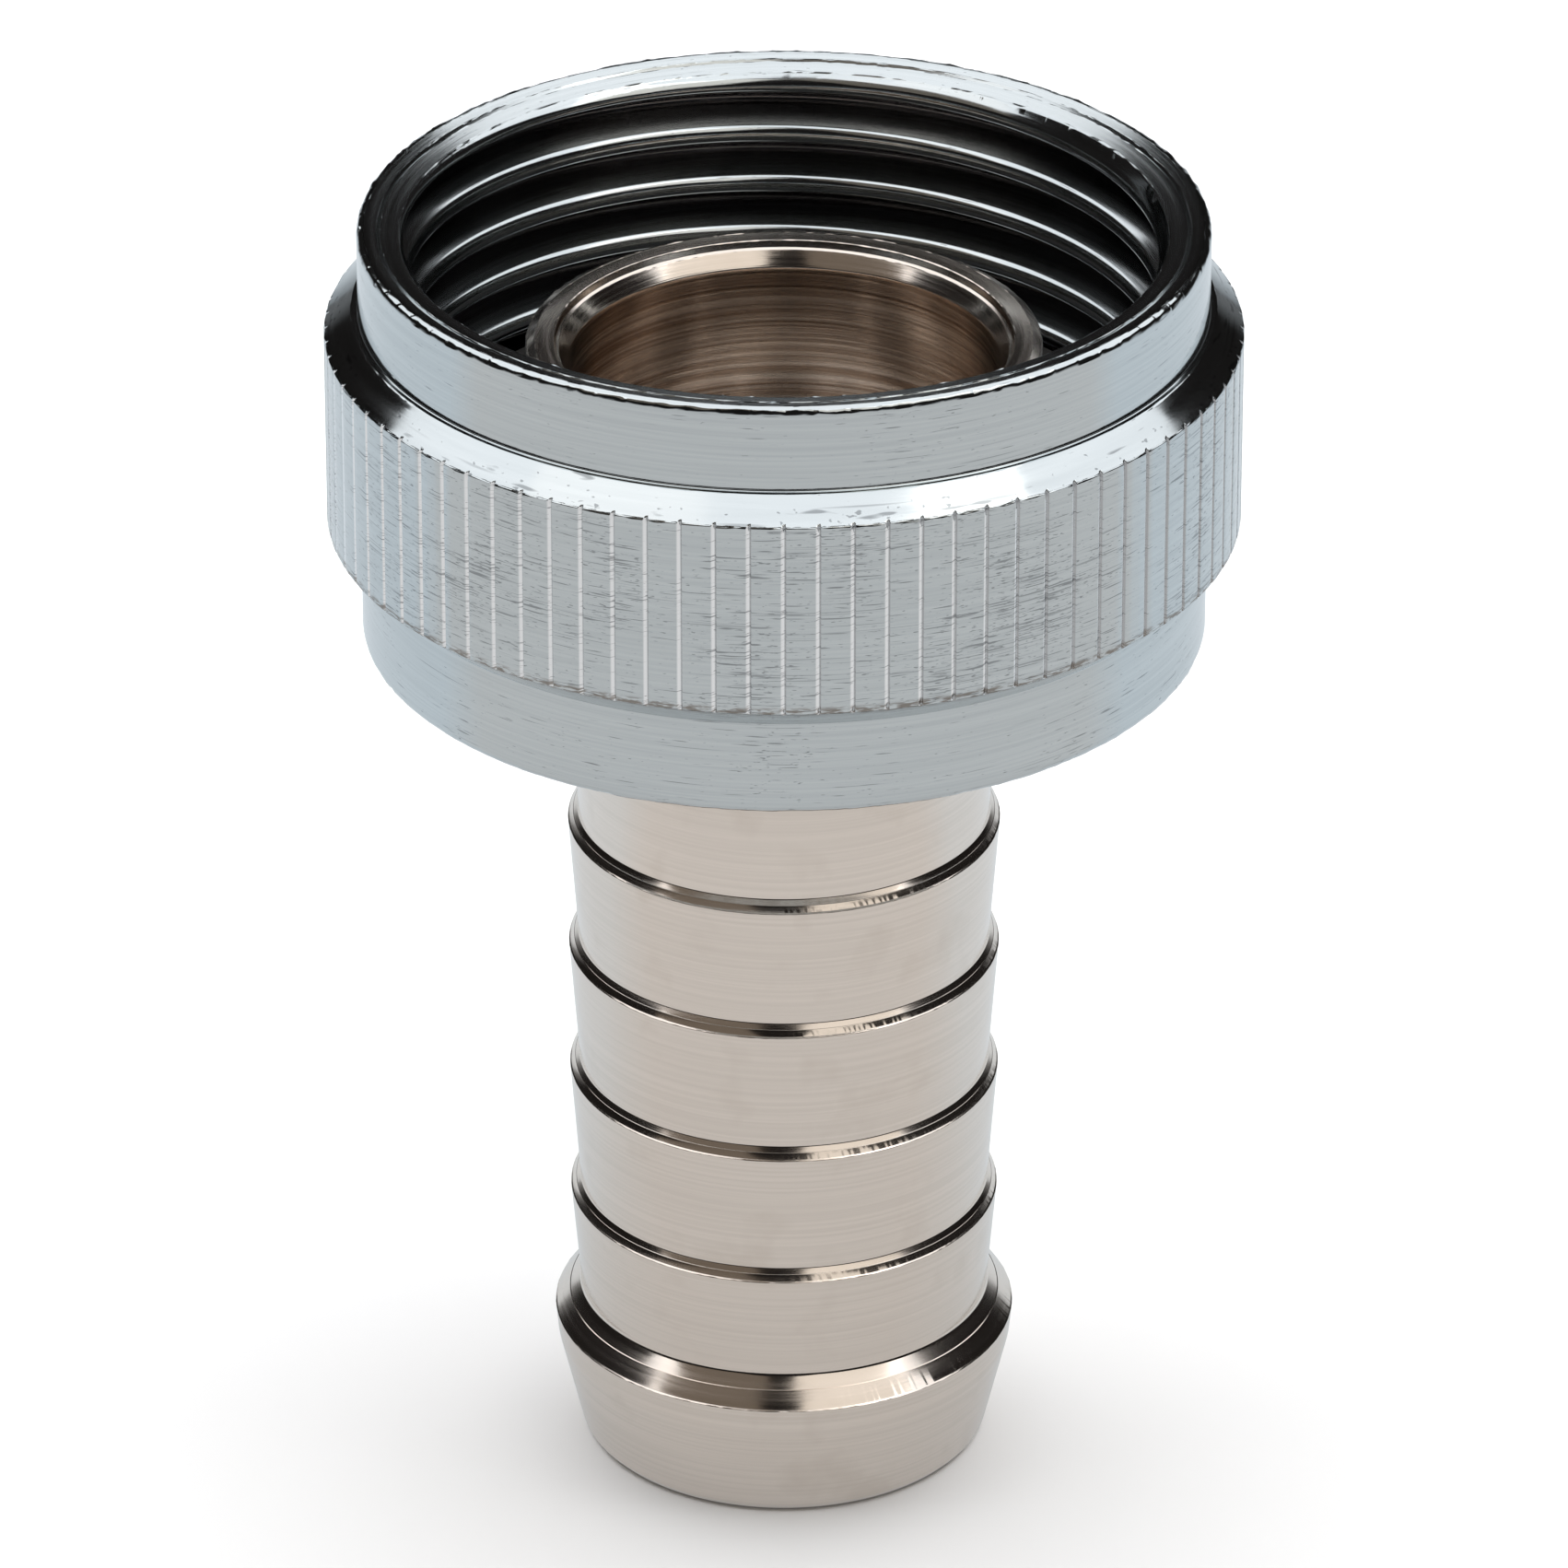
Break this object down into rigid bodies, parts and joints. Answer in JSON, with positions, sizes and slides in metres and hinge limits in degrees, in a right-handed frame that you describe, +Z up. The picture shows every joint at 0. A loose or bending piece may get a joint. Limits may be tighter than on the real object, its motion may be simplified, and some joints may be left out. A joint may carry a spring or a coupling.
{
  "type": "hose union",
  "caption": "Straight hose union: a knurled union nut with an internal pipe thread turns freely on a barbed hose tail with a flat sealing washer.",
  "frame": {"origin": "centre of the hose tail's lower end face, on which the union stands", "axes": "+Z up along the common axis of tail and nut, towards the nut's threaded mouth; X and Y are alike"},
  "size_m": [0.0298, 0.0298, 0.0441],
  "materials": {
    "chrome_plate": "satin",
    "nickel_plate": "satin",
    "black_rubber": "matte"
  },
  "bodies": {
    "tail": {"hose_tail": "nickel_plate", "sealing_washer": "black_rubber"},
    "nut": {"union_nut": "chrome_plate"}
  },
  "joints": [
    {"name": "nut_turn", "type": "hinge", "parent": "tail", "child": "nut", "pos_m": [0, 0, 0.0315], "axis": [0, 0, 1], "continuous": true}
  ]
}
